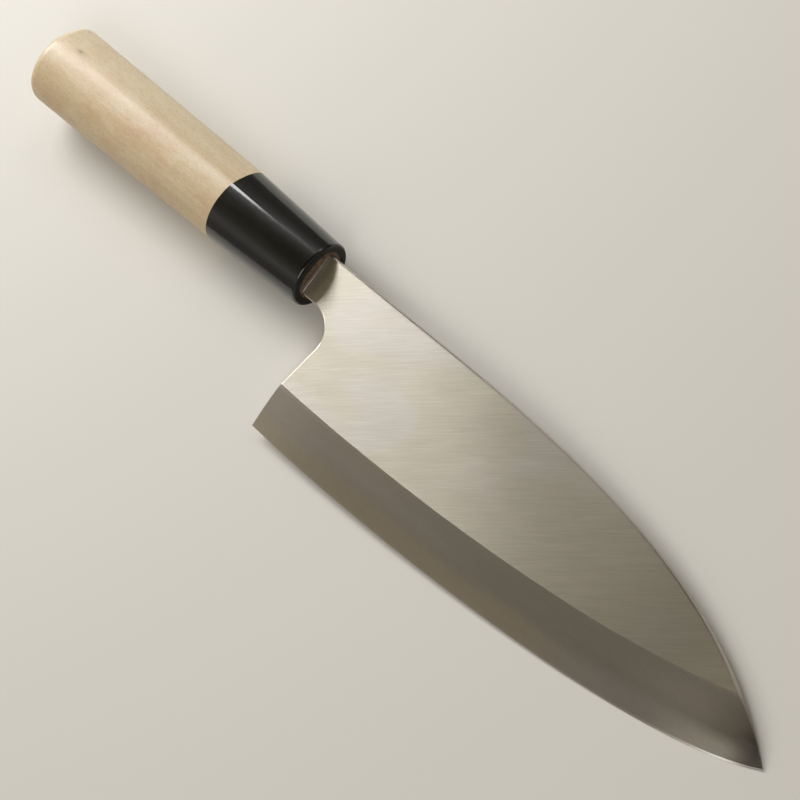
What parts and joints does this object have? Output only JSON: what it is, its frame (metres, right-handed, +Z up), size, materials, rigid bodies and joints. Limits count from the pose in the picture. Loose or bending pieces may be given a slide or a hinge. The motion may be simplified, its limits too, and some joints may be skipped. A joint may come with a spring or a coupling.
{
  "type": "deba knife",
  "caption": "Single-bevel Japanese fish knife with a laminated steel blade, finger notch at the heel, pale ridged wooden handle and black horn ferrule.",
  "frame": {"origin": "middle of the knife's bounding box, on the table on which it lies on its hollow back", "axes": "+X from the butt to the tip, +Y towards the spine, +Z up, out of the ground front"},
  "size_m": [0.3268, 0.0622, 0.0245],
  "materials": {
    "edge_steel": "hard carbon steel, finely stoned to a soft sheen",
    "cladding_iron": "soft iron, satin brushed in fine slanting lines, its ground bevel a soft matt grey",
    "black_horn": "black buffalo horn, polished",
    "magnolia_wood": "pale straight-grained magnolia, sanded smooth and left unvarnished",
    "amber_resin": "dark amber resin, set hard"
  },
  "bodies": {
    "root": {"edge_steel": "edge_steel", "cladding_and_tang": "cladding_iron", "ferrule": "black_horn", "handle_body": "magnolia_wood", "tang_seal": "amber_resin"}
  },
  "joints": []
}
